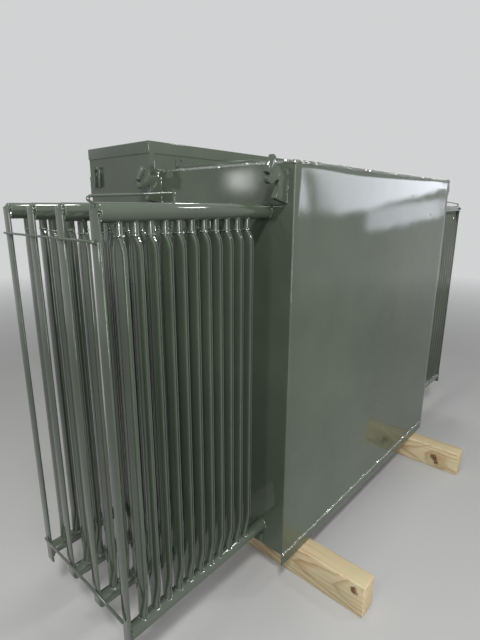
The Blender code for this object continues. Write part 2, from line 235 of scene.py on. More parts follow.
def makePine(name, pith, knots):                      # pith is the rings' middle, knots are (place, size)
    look, tree, shader, place = startMaterial(name)
    ragged = mathNode(tree, "SUBTRACT", noiseNode(tree, place, 70.0, 3.0, 0.6), 0.5)
    bent, stain = place, None
    for spot, size in knots:                          # the rings bend round each knot
        gap = vectorNode(tree, "SUBTRACT", place, spot)
        far = vectorNode(tree, "LENGTH", gap)
        near = spreadNode(tree, far, 1.0, 0.0, size * 0.6, size * 4.5)
        bent = vectorNode(tree, "SUBTRACT", bent, vectorNode(tree, "MULTIPLY", gap, near))
        edge = mathNode(tree, "ADD", far, mathNode(tree, "MULTIPLY", ragged, size * 2.2))
        core = spreadNode(tree, edge, 1.0, 0.0, size * 0.55, size)
        stain = mathNode(tree, "MAXIMUM", stain, core) if stain else core
    shift = addNode(tree, "Mapping", {"Vector": vectorNode(tree, "SUBTRACT", bent, pith),
                                      "Scale": pineLook["stretch"], "Rotation": (0, 0, pineLook["taper"])})
    rings = addNode(tree, "TexWave", {"Vector": shift.outputs["Vector"], "Scale": pineLook["ringScale"],
                                      "Distortion": 1.5, "Detail": 2.0,
                                      "Detail Scale": 0.6, "Detail Roughness": 0.6},
                    wave_type="RINGS", rings_direction="Y", wave_profile="SAW").outputs["Fac"]
    early, late = pineLook["early"], pineLook["late"]
    grain = rampNode(tree, rings, ((0.0, early), (0.50, early), (0.92, late), (1.0, early)))
    fibre = addNode(tree, "Mapping", {"Vector": place, "Scale": (1.0, 0.02, 1.0)}).outputs["Vector"]
    fibreNoise = noiseNode(tree, fibre, 700.0, 3.0, 0.6)
    streaks = spreadNode(tree, noiseNode(tree, fibre, 75.0, 4.0, 0.7), 0.0, 0.8, 0.52, 0.74)
    patches = spreadNode(tree, noiseNode(tree, place, 9.0, 3.0), 0.0, 0.55, 0.45, 0.70)
    cracks = spreadNode(tree, noiseNode(tree, place, 150.0, 4.0, 0.75), 0.0, 1.0, 0.47, 0.56)
    colour = mixColours(tree, streaks, grain, pineLook["streak"])
    colour = mixColours(tree, patches, colour, pineLook["green"])
    colour = mixColours(tree, stain, colour, pineLook["knot"])
    colour = mixColours(tree, mathNode(tree, "MULTIPLY", stain, cracks), colour, pineLook["crack"])
    feed(tree, shader.inputs["Base Color"], colour)
    shader.inputs["Roughness"].default_value = pineLook["dryness"]
    normal = bumpNode(tree, rings, pineLook["ringDepth"],
                      bumpNode(tree, fibreNoise, pineLook["fibreDepth"]))
    feed(tree, shader.inputs["Normal"], normal)
    return look


# Mesh helpers

def onSide(node, sign):           # a node's inner side, its outer side and its middle along Y
    low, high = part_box(node)
    inner, outer = (low.x, high.x) if sign > 0 else (high.x, low.x)
    return inner, outer, (low.y + high.y) / 2


def turnOut(sign, place):         # takes a part that is built along +X to its side
    return Matrix.Translation(place) @ Matrix.Rotation(0 if sign > 0 else math.pi, 4, "Z")


def vertsOf(geom):
    return [item for item in geom if isinstance(item, bmesh.types.BMVert)]


def rideRoot(name, bm, look, standsFor=(), sharpFrom=38):
    bmesh.ops.recalc_face_normals(bm, faces=bm.faces)
    mesh = bpy.data.meshes.new(name)
    bm.to_mesh(mesh)
    bm.free()
    mesh.materials.append(look)
    mesh.shade_smooth()
    mesh.set_sharp_from_angle(angle=math.radians(sharpFrom))
    piece = addObject(name, mesh)
    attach(piece, "root")
    if standsFor:
        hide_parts(*standsFor)


def addCopy(bm, part, place=None):                    # part is a small bmesh, which stays as it is
    mesh = bpy.data.meshes.new("part")
    part.to_mesh(mesh)
    if place:
        mesh.transform(place)
    bm.from_mesh(mesh)
    bpy.data.meshes.remove(mesh)


def addPart(bm, part, place=None):                    # part is used up
    addCopy(bm, part, place)
    part.free()


def bevelEdges(bm, edges, width, steps=2):
    bmesh.ops.bevel(bm, geom=list(edges), offset=width, offset_type="OFFSET", segments=steps,
                    profile=0.5, affect="EDGES", material=-1, clamp_overlap=True)


def blockPart(size, edge=0.0, steps=2):               # a block round the origin, with eased edges
    part = bmesh.new()
    bmesh.ops.create_cube(part, size=1)
    bmesh.ops.scale(part, vec=size, verts=part.verts)
    if edge:
        bevelEdges(part, part.edges, edge, steps)
    return part


def addBlock(bm, low, high, edge=0.0, steps=2):
    low, high = Vector(low), Vector(high)
    low, high = Vector(map(min, low, high)), Vector(map(max, low, high))
    addPart(bm, blockPart(high - low, edge, steps), Matrix.Translation((low + high) / 2))


def turnTo(direction, place=(0, 0, 0)):               # a matrix that takes +Z to a direction
    turn = zAxis.rotation_difference(Vector(direction)).to_matrix().to_4x4()
    return Matrix.Translation(place) @ turn


def discPart(radius, depth, around=24, edge=0.0, steps=2):    # a short round piece along +Z
    part = bmesh.new()
    bmesh.ops.create_cone(part, cap_ends=True, segments=around, radius1=radius, radius2=radius,
                          depth=depth)
    bmesh.ops.translate(part, vec=(0, 0, depth / 2), verts=part.verts)
    if edge:
        rims = [e for e in part.edges if any(len(f.verts) == around for f in e.link_faces)]
        bevelEdges(part, rims, edge, steps)
    return part


def hexPart(across, depth, edge=0.0008):              # a nut or a bolt head along +Z
    return discPart(across / math.sqrt(3), depth, 6, edge, 1)


def addBolt(bm, place, direction, across, head, washer=0.002):
    turn = turnTo(direction, place)
    addPart(bm, discPart(across * 0.95, washer, 20, 0.0005, 1), turn)
    addPart(bm, hexPart(across, head), turn @ Matrix.Translation((0, 0, washer)))


def roundedPath(points, radius, steps=5):             # a polyline whose corners are arcs
    points = [Vector(point) for point in points]
    path = [points[0]]
    for before, corner, after in zip(points, points[1:], points[2:]):
        into, out = (before - corner).normalized(), (after - corner).normalized()
        half = into.angle(out) / 2
        reach = radius / math.tan(half)
        middle = corner + (into + out).normalized() * (radius / math.sin(half))
        first, last = corner + into * reach - middle, corner + out * reach - middle
        for step in range(steps + 1):
            path.append(middle + first.slerp(last, step / steps) * radius)    # slerp gives unit vectors
    path.append(points[-1])
    return path


def evenPath(points, spacing, closed=False):          # points at even steps along a polyline
    points = [Vector(point) for point in points]
    if closed:
        points = points + [points[0]]
    lengths = [(b - a).length for a, b in zip(points, points[1:])]
    total = sum(lengths)
    count = max(3, round(total / spacing))
    made = []
    for index in range(count if closed else count + 1):
        along = total * index / count
        for start, end, length in zip(points, points[1:], lengths):
            if along <= length or end is points[-1]:
                made.append(start.lerp(end, min(1.0, along / length)))
                break
            along -= length
    return made


def extrudeEdges(part, edges):
    grown = bmesh.ops.extrude_edge_only(part, edges=edges)["geom"]
    return vertsOf(grown), [item for item in grown if isinstance(item, bmesh.types.BMEdge)]


def tubePart(path, radii, around=8, closed=False):    # a circle that is extruded along a path
    part = bmesh.new()
    count = len(path)
    ring = bmesh.ops.create_circle(part, segments=around, radius=radii[0])["verts"]
    edges = list(part.edges)
    firstEdges = edges
    heading = zAxis
    for index, place in enumerate(path):
        if closed:
            ahead = path[(index + 1) % count] - path[index - 1]
        else:
            ahead = path[min(index + 1, count - 1)] - path[max(index - 1, 0)]
        ahead.normalize()
        if index:
            ring, edges = extrudeEdges(part, edges)
            bmesh.ops.translate(part, vec=place - path[index - 1], verts=ring)
            grow = radii[index] / radii[index - 1]
            bmesh.ops.scale(part, vec=(grow, grow, grow), verts=ring,
                            space=Matrix.Translation(-place))
        else:
            bmesh.ops.translate(part, vec=place, verts=ring)
        turn = heading.rotation_difference(ahead).to_matrix()
        bmesh.ops.rotate(part, cent=place, matrix=turn, verts=ring)
        heading = ahead
    if closed:
        bmesh.ops.bridge_loops(part, edges=firstEdges + edges)
    else:
        bmesh.ops.holes_fill(part, edges=part.edges, sides=0)
    return part


def addRod(bm, points, radius, bend=0.0, around=12):
    path = roundedPath(points, bend) if bend else [Vector(point) for point in points]
    addPart(bm, tubePart(path, [radius] * len(path), around))


weldSizes = {
    "ripple": 0.0042,             # from one ripple of a bead to the next
    "swell": 0.26,                # how much the ripples differ
    "wander": 0.20,               # how far a bead strays, as a share of its radius
    "even": (0.80, 1.12),         # every other ripple is thin or thick
    "flatness": 0.5,              # of the lumps on it
    "tilt": 0.45,
    "lumpStray": 0.3,
    "lumpSpread": (0.7, 1.2),     # the smallest and the largest, as shares
}

weldLump = bmesh.new()            # freed once all welds are made
bmesh.ops.create_icosphere(weldLump, subdivisions=2, radius=1)
bmesh.ops.scale(weldLump, vec=(1, 1, weldSizes["flatness"]), verts=weldLump.verts)


def addBead(bm, points, radius, chance, closed=False, ripple=weldSizes["ripple"], around=7):
    path = evenPath(points, ripple, closed)
    radii = []
    for index, place in enumerate(path):
        swell = 1 + chance.uniform(-1, 1) * weldSizes["swell"]
        radii.append(radius * swell * weldSizes["even"][index % 2])
        stray = radius * weldSizes["wander"]
        path[index] = place + Vector([chance.uniform(-stray, stray) for _ in range(3)])
    addPart(bm, tubePart(path, radii, around, closed))


def addLump(bm, place, outward, size, chance):        # a flat wet lump that faces outward
    tilt = Vector(outward) + Vector([chance.uniform(-1, 1) * weldSizes["tilt"] for _ in range(3)])
    stray = size * weldSizes["lumpStray"]
    spot = Vector(place) + Vector([chance.uniform(-1, 1) * stray for _ in range(3)])
    grow = Matrix.Scale(size * chance.uniform(*weldSizes["lumpSpread"]), 4)
    addCopy(bm, weldLump, turnTo(tilt.normalized(), spot) @ grow)


def addLumps(bm, points, outward, size, spacing, chance):
    for place in evenPath(points, spacing):
        addLump(bm, place, outward, size, chance)


def circlePoints(centre, radius, axis, count=24):     # points round an axis
    turn = turnTo(axis, centre)
    spots = []
    for index in range(count):
        angle = 2 * math.pi * index / count
        spots.append(turn @ Vector((radius * math.cos(angle), radius * math.sin(angle), 0)))
    return spots


# Plates of the tank and the cabinet

plateSizes = {
    "cells": 40,                  # cells along each side of a plate's mesh
    "waveLength": 0.55,
    "fade": 0.10,                 # the waves die out this near a plate's edge
    "swellFade": 0.06,            # and this near it on the plate with swells
    "lean": 0.35,                 # the waves dish a plate a little more than they swell it
    # slow swells of the rear plate: place along X, height, size, and how far out
    "rearSwells": ((0.05, 0.95, 0.62, 0.0060), (0.66, 1.47, 0.20, -0.0042), (0.24, 1.42, 0.20, 0.0016)),
}

plates = (
    # name, node, axis it faces, which way, wave height, eased edge, seed of the waves, slot
    ("rear_plate", "tank_rear_wall", 1, 1, 0.0018, 0.0045, 3.1, "tank_paint"),
    ("left_plate", "tank_left_wall", 0, 1, 0.0014, 0.0, 5.7, "tank_paint"),
    ("right_plate", "tank_right_wall", 0, -1, 0.0014, 0.0, 8.3, "tank_paint"),
    ("cover_plate", "tank_cover", 2, 1, 0.0012, 0.0025, 1.9, "tank_paint"),
    ("barrier_plate", "tank_front_wall", 1, 1, 0.0010, 0.0015, 6.4, "tank_paint"),
    ("left_cabinet_sheet", "cabinet_left_side", 0, 1, 0.0008, 0.0012, 2.2, "cabinet_paint"),
    ("right_cabinet_sheet", "cabinet_right_side", 0, -1, 0.0008, 0.0012, 4.8, "cabinet_paint"),
    ("left_door_sheet", "cabinet_left_door", 1, -1, 0.0009, 0.0015, 7.7, "cabinet_paint"),
    ("right_door_sheet", "cabinet_right_door", 1, -1, 0.0009, 0.0015, 9.6, "cabinet_paint"),
)


def platePiece(name, node, axis, outward, wave, edge, seed, slot, swells=()):
    # a plate in place of its node: a grid that is dished a little, given its thickness and eased
    low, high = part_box(node)
    size = high - low
    first, second = [index for index in range(3) if index != axis]
    face = (high if outward > 0 else low)[axis]
    bm = bmesh.new()
    cells = plateSizes["cells"]
    bmesh.ops.create_grid(bm, x_segments=cells, y_segments=cells, size=0.5)
    for vert in bm.verts:
        spot = Vector((0, 0, 0))
        spot[first] = low[first] + (vert.co.x + 0.5) * size[first]
        spot[second] = low[second] + (vert.co.y + 0.5) * size[second]
        rim = min(spot[first] - low[first], high[first] - spot[first],
                  spot[second] - low[second], high[second] - spot[second])
        fade = min(1.0, rim / (plateSizes["swellFade"] if swells else plateSizes["fade"]))
        fade = fade * fade * (3 - 2 * fade)
        lump = noise.noise(spot / plateSizes["waveLength"] + Vector((seed, seed * 0.7, 0)))
        proud = wave * (lump - plateSizes["lean"])
        for along, up, spread, height in swells:
            gap = math.hypot(spot[first] - along, spot[second] - up) / spread
            proud += height * math.exp(-gap * gap)
        spot[axis] = face + outward * fade * proud
        vert.co = spot
    bmesh.ops.recalc_face_normals(bm, faces=bm.faces)
    if sum(f.normal[axis] for f in bm.faces) * outward < 0:
        bmesh.ops.reverse_faces(bm, faces=bm.faces)
    made = bmesh.ops.extrude_face_region(bm, geom=list(bm.faces))["geom"]
    shift = Vector((0, 0, 0))
    shift[axis] = -outward * size[axis]
    bmesh.ops.translate(bm, vec=shift, verts=vertsOf(made))
    bmesh.ops.recalc_face_normals(bm, faces=bm.faces)
    if edge:
        rims = []
        for e in bm.edges:
            spots = [f.normal[axis] * outward for f in e.link_faces]
            if len(spots) == 2 and max(spots) > 0.8 and min(spots) < 0.3:
                rims.append(e)
        bevelEdges(bm, rims, edge, 3)
    rideRoot(name, bm, sheetEnamel, (node,))


for plate in plates:
    platePiece(*plate, swells=plateSizes["rearSwells"] if plate[0] == "rear_plate" else ())
print("plates made")


# Radiators

radiator = {
    "firstElement": 0.107,        # tank wall to the first element
    "elementPitch": 0.048,
    "elementCount": 11,
    "width": 0.062,
    "thickness": 0.0135,
    "flangeReach": 0.0055,
    "flangeHalf": 0.0013,
    "roundness": 2.7,             # power of the flat oval's outline
    "bodyAngles": (14, 33, 58, 90, 122, 147, 166),
    "footWidth": 0.034, "footThickness": 0.029,
    "neckWidth": 0.026, "neckThickness": 0.0235,
    "footHeights": (0.0, 0.026, 0.040, 0.058, 0.078, 0.100, 0.125),
    "footShares": (0.0, 0.0, 0.04, 0.25, 0.58, 0.86, 1.0),    # from the foot's section to the full one
    "neckDrops": (0.102, 0.092, 0.081, 0.072, 0.065, 0.059, 0.054, 0.0),
    "neckShares": (1.0, 0.95, 0.80, 0.56, 0.30, 0.08, 0.0, 0.0),
    "headerRadius": 0.0242,
    "headerSides": 32,
    "endRound": 0.004,
    "rootBead": 0.0030,
    "neckWeldDrop": 0.056,        # below the top header's middle
    "footLumps": (0.0165, 0.0185, 0.010),   # to both sides, above the bottom header's middle, along it
    "lump": 0.0036,
    "footBead": (0.0022, 0.0055, 5),      # radius, ripple, points round it
    "neckBead": 0.0021,
    "neckShare": (0.54, 0.56),    # of the neck's thickness and width, for the ring of weld on it
}


def elementSection():             # points round a pressed element at full size, from its +Y edge
    half = radiator["width"] / 2
    body = half - radiator["flangeReach"]
    power = 2 / radiator["roundness"]
    front = [(radiator["flangeHalf"], half), (radiator["flangeHalf"], body + 0.0006)]
    for angle in radiator["bodyAngles"]:
        turn = math.radians(angle)
        out = radiator["thickness"] / 2 * abs(math.sin(turn)) ** power
        across = body * math.copysign(abs(math.cos(turn)) ** power, math.cos(turn))
        front.append((out, across))
    front += [(radiator["flangeHalf"], -body - 0.0006), (radiator["flangeHalf"], -half)]
    return front + [(-out, across) for out, across in reversed(front)]


def elementPart(bottomAxis, topAxis):
    # one element: its outline is extruded upwards and scaled to each height's width and thickness
    outline = elementSection()
    part = bmesh.new()
    ring = bmesh.ops.create_circle(part, segments=len(outline), radius=1)["verts"]
    for vert, (out, across) in zip(ring, outline):
        vert.co = (out, across, 0)
    edges = list(part.edges)
    full = (radiator["thickness"], radiator["width"])
    stations = []
    for height, share in zip(radiator["footHeights"], radiator["footShares"]):
        small = (radiator["footThickness"], radiator["footWidth"])
        stations.append((bottomAxis + height, [a + (b - a) * share for a, b in zip(small, full)]))
    for drop, share in zip(radiator["neckDrops"], radiator["neckShares"]):
        small = (radiator["neckThickness"], radiator["neckWidth"])
        stations.append((topAxis - drop, [a + (b - a) * share for a, b in zip(small, full)]))
    now = full
    level = 0
    for index, (height, size) in enumerate(stations):
        if index:
            ring, edges = extrudeEdges(part, edges)
        bmesh.ops.scale(part, vec=(size[0] / now[0], size[1] / now[1], 1), verts=ring)
        bmesh.ops.translate(part, vec=(0, 0, height - level), verts=ring)
        now, level = size, height
    bmesh.ops.holes_fill(part, edges=part.edges, sides=0)
    return part


def saddlePoints(out, axisHeight, halfOut, halfAcross, up, count=18):
    # the line where an element meets the round header
    spots = []
    for index in range(count):
        angle = 2 * math.pi * index / count
        across = halfAcross * math.sin(angle)
        rise = math.sqrt(radiator["headerRadius"] ** 2 - across ** 2)
        spots.append(Vector((out + halfOut * math.cos(angle), across, axisHeight + up * rise)))
    return spots


def headerPart(length):           # along +X from the wall, with a rounded end cap
    part = discPart(radiator["headerRadius"], length, radiator["headerSides"])
    tip = [v for v in part.verts if v.co.z > length / 2]
    rim = [e for e in part.edges if all(v in tip for v in e.verts)]
    bevelEdges(part, rim, radiator["endRound"], 3)
    bmesh.ops.rotate(part, cent=(0, 0, 0), matrix=Matrix.Rotation(math.pi / 2, 3, "Y"), verts=part.verts)
    return part


def makeRadiators():
    for side, sign in sides.items():
        welds = bmesh.new()
        for bank in bankNumbers:
            node = "radiator_%s_%d" % (side, bank)
            low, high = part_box(node)
            wall, tip, middle = onSide(node, sign)
            bottomAxis = low.z + radiator["headerRadius"]
            topAxis = high.z - radiator["headerRadius"]
            place = turnOut(sign, (wall, middle, 0))
            bm = bmesh.new()
            element = elementPart(bottomAxis, topAxis)
            header = headerPart(abs(tip - wall))
            for index in range(radiator["elementCount"]):
                out = radiator["firstElement"] + index * radiator["elementPitch"]
                addCopy(bm, element, Matrix.Translation((out, 0, 0)))
            chance = random.Random(node + " roots")
            for axis in (bottomAxis, topAxis):
                addCopy(bm, header, Matrix.Translation((0, 0, axis)))
                addBead(bm, circlePoints((0.002, 0, axis), radiator["headerRadius"] + 0.0005, xAxis),
                        radiator["rootBead"], chance, True)
            element.free()
            header.free()
            bmesh.ops.transform(bm, matrix=place, verts=bm.verts)
            rideRoot("pressed_" + node, bm, pressedEnamel, (node,))
            addPart(welds, radiatorWelds(node, bottomAxis, topAxis), place)
        rideRoot("radiator_welds_" + side, welds, weldEnamel)


def radiatorWelds(node, bottomAxis, topAxis):
    chance = random.Random(node)
    bm = bmesh.new()
    bead, ripple, around = radiator["footBead"]
    for index in range(radiator["elementCount"]):
        out = radiator["firstElement"] + index * radiator["elementPitch"]
        for part, axis, up in (("foot", bottomAxis, 1), ("neck", topAxis, -1)):
            halfOut, halfAcross = radiator[part + "Thickness"] / 2, radiator[part + "Width"] / 2
            ring = saddlePoints(out, axis, halfOut, halfAcross, up)
            addBead(bm, ring, bead, chance, True, ripple, around)
        addNeckBead(bm, out, topAxis, chance)
        across, rise, reach = radiator["footLumps"]
        for way in (-1, 1):
            for _ in range(chance.randint(1, 3)):
                spot = (out + chance.uniform(-reach, reach), way * across, bottomAxis + rise)
                addLump(bm, spot, (0.4, way, 0.6), radiator["lump"], chance)
    return bm


def addNeckBead(bm, out, topAxis, chance):            # the ring of weld where the neck enters an element
    level = topAxis - radiator["neckWeldDrop"]
    halfOut = radiator["neckThickness"] * radiator["neckShare"][0]
    halfAcross = radiator["neckWidth"] * radiator["neckShare"][1]
    spots = []
    for point in circlePoints((0, 0, 0), 1, zAxis, 14):
        spots.append(Vector((out + point.x * halfOut, point.y * halfAcross, level)))
    addBead(bm, spots, radiator["neckBead"], chance, True, *radiator["footBead"][1:])
    for way in (-1, 1):
        for _ in range(chance.randint(0, 2)):
            spot = (out + chance.uniform(-0.7, 0.7) * halfOut, way * halfAcross, level)
            addLump(bm, spot, (0.4, way, 0.4), radiator["lump"], chance)


makeRadiators()
print("radiators made")


# Straps, rods and bars of the radiators

strapSizes = {
    "edge": 0.0012,
    "bead": 0.0034,
    "beadDrop": 0.020,
    "beadInset": 0.001,
    "blobDepth": 0.0068,
    # lumps at a strap's head: along Y, up, radius
    "blobs": ((0.014, 0.002, 0.0048), (-0.006, -0.003, 0.0042), (0.023, -0.006, 0.0040),
              (0.022, -0.014, 0.0036), (-0.013, -0.018, 0.0034)),
}
rodSizes = {
    "radius": 0.0034,
    "bend": 0.003,
    "bentFall": 0.011,            # the bent rod's run slopes down to its outer elbow
    "knob": 0.0068,
    "knobLength": 0.010,
    "tack": (0.0022, 0.004, 6),   # the small welds on the straps: radius, ripple, points round it
    "tackRun": (-0.014, 0.012),
    "endBead": 0.002,
    "lumpShares": (1.1, 1.4, 1.15),       # of the rod's radius, at the bends
}


def makeStraps():
    drop, bead = strapSizes["beadDrop"], strapSizes["bead"]
    for side, sign in sides.items():
        for bank in bankNumbers:
            node = "strap_%s_%d" % (side, bank)
            low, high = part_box(node)
            inner, _, middle = onSide(node, sign)
            chance = random.Random(node)
            bm = bmesh.new()
            addBlock(bm, low, high, strapSizes["edge"])
            headerLow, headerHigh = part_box("radiator_%s_%d" % (side, bank))
            face = inner - sign * strapSizes["beadInset"]
            topAxis = headerHigh.z - radiator["headerRadius"]
            bottomAxis = headerLow.z + radiator["headerRadius"]
            for edge in (low.y, high.y):
                addBead(bm, ((face, edge, topAxis - drop), (face, edge, high.z)), bead, chance)
            addBead(bm, ((face, low.y, high.z), (face, high.y, high.z)), bead, chance)
            for edge in (low.y, high.y):
                foot = max(low.z, bottomAxis - drop)
                addBead(bm, ((face, edge, foot), (face, edge, bottomAxis + drop)), bead, chance)
            for along, up, lump in strapSizes["blobs"]:
                blob = discPart(lump, strapSizes["blobDepth"], 14, 0.0026, 3)
                addPart(bm, blob, turnTo((sign, 0, 0), (inner, middle + along, high.z + up)))
            rideRoot("header_" + node, bm, pipeEnamel, (node,))


def makeTieRods():
    reach, length = rodSizes["radius"], rodSizes["knobLength"]
    bead, ripple, around = rodSizes["tack"]
    for side, sign in sides.items():
        node = "tie_rod_" + side
        low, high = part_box(node)
        middle = (low + high) / 2
        bm = bmesh.new()
        addRod(bm, ((middle.x, low.y, middle.z), (middle.x, high.y - 0.004, middle.z)), reach)
        knob = discPart(rodSizes["knob"], length, 20, length * 0.45, 4)
        addPart(bm, knob, turnTo(yAxis, (middle.x, high.y - length, middle.z)))
        face, foot = middle.x - sign * reach, middle.z - reach
        for bank in bankNumbers:
            spot = onSide("strap_%s_%d" % (side, bank), sign)[2]
            run = [(face, spot + along, foot) for along in rodSizes["tackRun"]]
            addBead(bm, run, bead, random.Random(node + str(bank)), ripple=ripple, around=around)
        rideRoot("rod_" + node, bm, pipeEnamel, (node,))


def makeTieBars():
    for side in sides:
        node = "tie_bar_" + side
        low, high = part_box(node)
        bm = bmesh.new()
        addBlock(bm, low, high, 0.001)
        rideRoot("flat_" + node, bm, pipeEnamel, (node,))


def makeBentRods():
    radius = rodSizes["radius"]
    for side, sign in sides.items():
        node = "bent_rod_" + side
        low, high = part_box(node)
        strap = "strap_%s_1" % side
        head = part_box(strap)[1].z
        inner, outer, middle = onSide(node, sign)
        inner, outer = abs(inner) + radius, abs(outer) - radius
        leg = abs(onSide(strap, sign)[0]) + radius
        run = high.z - radius
        elbow = run - rodSizes["bentFall"]
        points = ((leg, head), (leg, head + 0.009), (outer, elbow - 0.008), (outer - 0.007, elbow),
                  (inner + 0.006, run), (inner, run - 0.007), (inner, low.z))
        bm = bmesh.new()
        addRod(bm, [(sign * x, middle, z) for x, z in points], radius, rodSizes["bend"])
        chance = random.Random(node)
        for x, z in ((outer - 0.003, elbow - 0.004), (inner + 0.001, run - 0.002)):    # lumps at both bends
            lump = [Vector((sign * (x + out), middle, z + up))
                    for out, up in ((-0.004, 0.002), (0, 0), (0.002, -0.005))]
            addPart(bm, tubePart(lump, [radius * share for share in rodSizes["lumpShares"]]))
        for x, z in (points[0], points[-1]):
            ring = circlePoints((sign * x, middle, z), radius, zAxis, 10)
            addBead(bm, ring, rodSizes["endBead"], chance, True)
        rideRoot("round_" + node, bm, pipeEnamel, (node,))


makeStraps()
makeTieRods()
makeTieBars()
makeBentRods()
print("straps and rods made")


# Lifting hooks

hookSizes = {
    "thickness": 0.019,
    "reach": 0.100,
    "rise": 0.119,
    "outlineShares": ((0.0, 0.0), (0.64, 0.139), (0.46, 0.454), (0.475, 0.585), (0.56, 0.62),
                      (0.69, 0.555), (0.88, 0.496), (0.985, 0.545), (1.0, 0.65), (0.712, 1.0),
                      (0.286, 0.903), (0.0, 0.903)),
    "cornerRound": 0.0028,
    "edge": 0.0009,
    "roots": {"rear": 0.0, "front": 0.010},     # the front hooks are longer at the wall
    "guard": (0.016, 0.020, 0.060),
    "guardShares": (0.846, 0.990),
    "guardLean": math.radians(28.8),
    "wallBead": 0.0036,
    "guardBead": 0.0030,
    "guardRun": ((0.0712, 0.1175), (0.0940, 0.0815)),   # the weld between plate and guard
    "guardEdge": 0.0018,
    "lumpPitch": (0.006, 0.008),  # on the guard's weld and on the wall's
}


def hookPart(root):               # reaching out along +X from the wall, its foot at the origin
    reach, rise, thickness = hookSizes["reach"], hookSizes["rise"], hookSizes["thickness"]
    corners = [(root + out * reach if out else 0, -thickness / 2, up * rise)
               for out, up in hookSizes["outlineShares"]]
    outline = roundedPath(corners, hookSizes["cornerRound"], 4)
    part = bmesh.new()
    ring = bmesh.ops.create_circle(part, cap_ends=True, segments=len(outline), radius=1)["verts"]
    for vert, spot in zip(ring, outline):
        vert.co = spot
    made = bmesh.ops.extrude_face_region(part, geom=list(part.faces))["geom"]
    bmesh.ops.translate(part, vec=(0, thickness, 0), verts=vertsOf(made))
    bmesh.ops.recalc_face_normals(part, faces=part.faces)
    rims = [e for e in part.edges if any(len(f.verts) > 4 for f in e.link_faces)
            and max(v.co.x for v in e.verts) > hookSizes["edge"]]
    bevelEdges(part, rims, hookSizes["edge"], 2)
    out, up = hookSizes["guardShares"]
    turn = Matrix.Rotation(-hookSizes["guardLean"], 4, "Y")
    addPart(part, blockPart(hookSizes["guard"], hookSizes["guardEdge"], 3),
            Matrix.Translation((root + out * reach, 0, up * rise)) @ turn)
    return part


def makeHooks():
    half = hookSizes["thickness"] / 2
    top = hookSizes["rise"] * hookSizes["outlineShares"][-1][1]
    bead, guardBead = hookSizes["wallBead"], hookSizes["guardBead"]
    guardPitch, wallPitch = hookSizes["lumpPitch"]
    for side, sign in sides.items():
        for place, root in hookSizes["roots"].items():
            node = "lifting_hook_%s_%s" % (side, place)
            chance = random.Random(node)
            part = hookPart(root)
            for face in (-half, half):
                addBead(part, ((0.001, face, 0.001), (0.001, face, top)), bead, chance)
                run = [(root + out, face, up) for out, up in hookSizes["guardRun"]]
                addBead(part, run, guardBead, chance)
                outward = (0.4, face / half, 0.4)
                addLumps(part, run, outward, guardBead, guardPitch, chance)
                run = ((0.002, face, 0.004), (0.002, face, top))
                addLumps(part, run, outward, guardBead, wallPitch, chance)
            addBead(part, ((0.001, -half, top), (0.001, half, top)), bead, chance)
            wall, _, middle = onSide(node, sign)
            bm = bmesh.new()
            addPart(bm, part, turnOut(sign, (wall, middle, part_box(node)[0].z)))
            rideRoot("welded_" + node, bm, pipeEnamel, (node,))


makeHooks()
print("lifting hooks made")


# Weld beads of the tank

tankWelds = {
    "coverRadius": 0.0058,
    "coverRipple": 0.0075,
    "coverRise": 0.0025,          # above the walls' upper edges
    "lumpPitch": 0.0085,
    "cornerRadius": 0.0030,
    "lipRadius": 0.0054,
    "lipRipple": 0.0058,
    "lipHeight": 0.057,           # above the tank's lower edge
    "lipLumps": ((0.55, 0.65, 0.5), (0.63, 0.36, 0.69)),      # which way they face
    "inset": 0.004,
}


def makeTankWelds():
    chance = random.Random("tank welds")
    bm = bmesh.new()
    level = wallTop + tankWelds["coverRise"]
    radius, ripple, pitch = tankWelds["coverRadius"], tankWelds["coverRipple"], tankWelds["lumpPitch"]
    rear = rearFace - radius * 0.8
    run = ((-tankSide, rear, level), (tankSide, rear, level))
    addBead(bm, run, radius, chance, ripple=ripple)
    addLumps(bm, run, (0.6, 0.7, 0.35), radius * 1.1, pitch, chance)
    for sign in sides.values():
        out = sign * (tankSide - radius * 0.8)
        run = ((out, coverLow.y, level), (out, rear, level))
        addBead(bm, run, radius, chance, ripple=ripple)
        addLumps(bm, run, (sign * 0.7, 0.35, 0.5), radius, pitch, chance)
    run = ((-tankSide, barrierHigh.y, coverHigh.z), (tankSide, barrierHigh.y, coverHigh.z))
    addBead(bm, run, radius * 0.8, chance, ripple=ripple)
    addLumps(bm, run, (0.4, 0.6, 0.6), radius * 0.7, pitch, chance)
    radius, out = tankWelds["lipRadius"], tankSide - tankWelds["inset"]
    lip = tankFoot + tankWelds["lipHeight"]
    run = ((-out, rearFace, lip), (out, rearFace, lip))
    addBead(bm, run, radius, chance, ripple=tankWelds["lipRipple"])
    for outward in tankWelds["lipLumps"]:
        addLumps(bm, run, outward, radius * 1.1, pitch * 0.7, chance)
    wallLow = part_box("tank_left_wall")[0].z
    for sign in sides.values():
        run = ((sign * tankSide, barrierHigh.y, wallLow), (sign * tankSide, barrierHigh.y, level))
        addBead(bm, run, tankWelds["cornerRadius"], chance)
    rideRoot("tank_weld_beads", bm, weldEnamel)


makeTankWelds()
weldLump.free()
print("tank welds made")


# Terminal cabinet

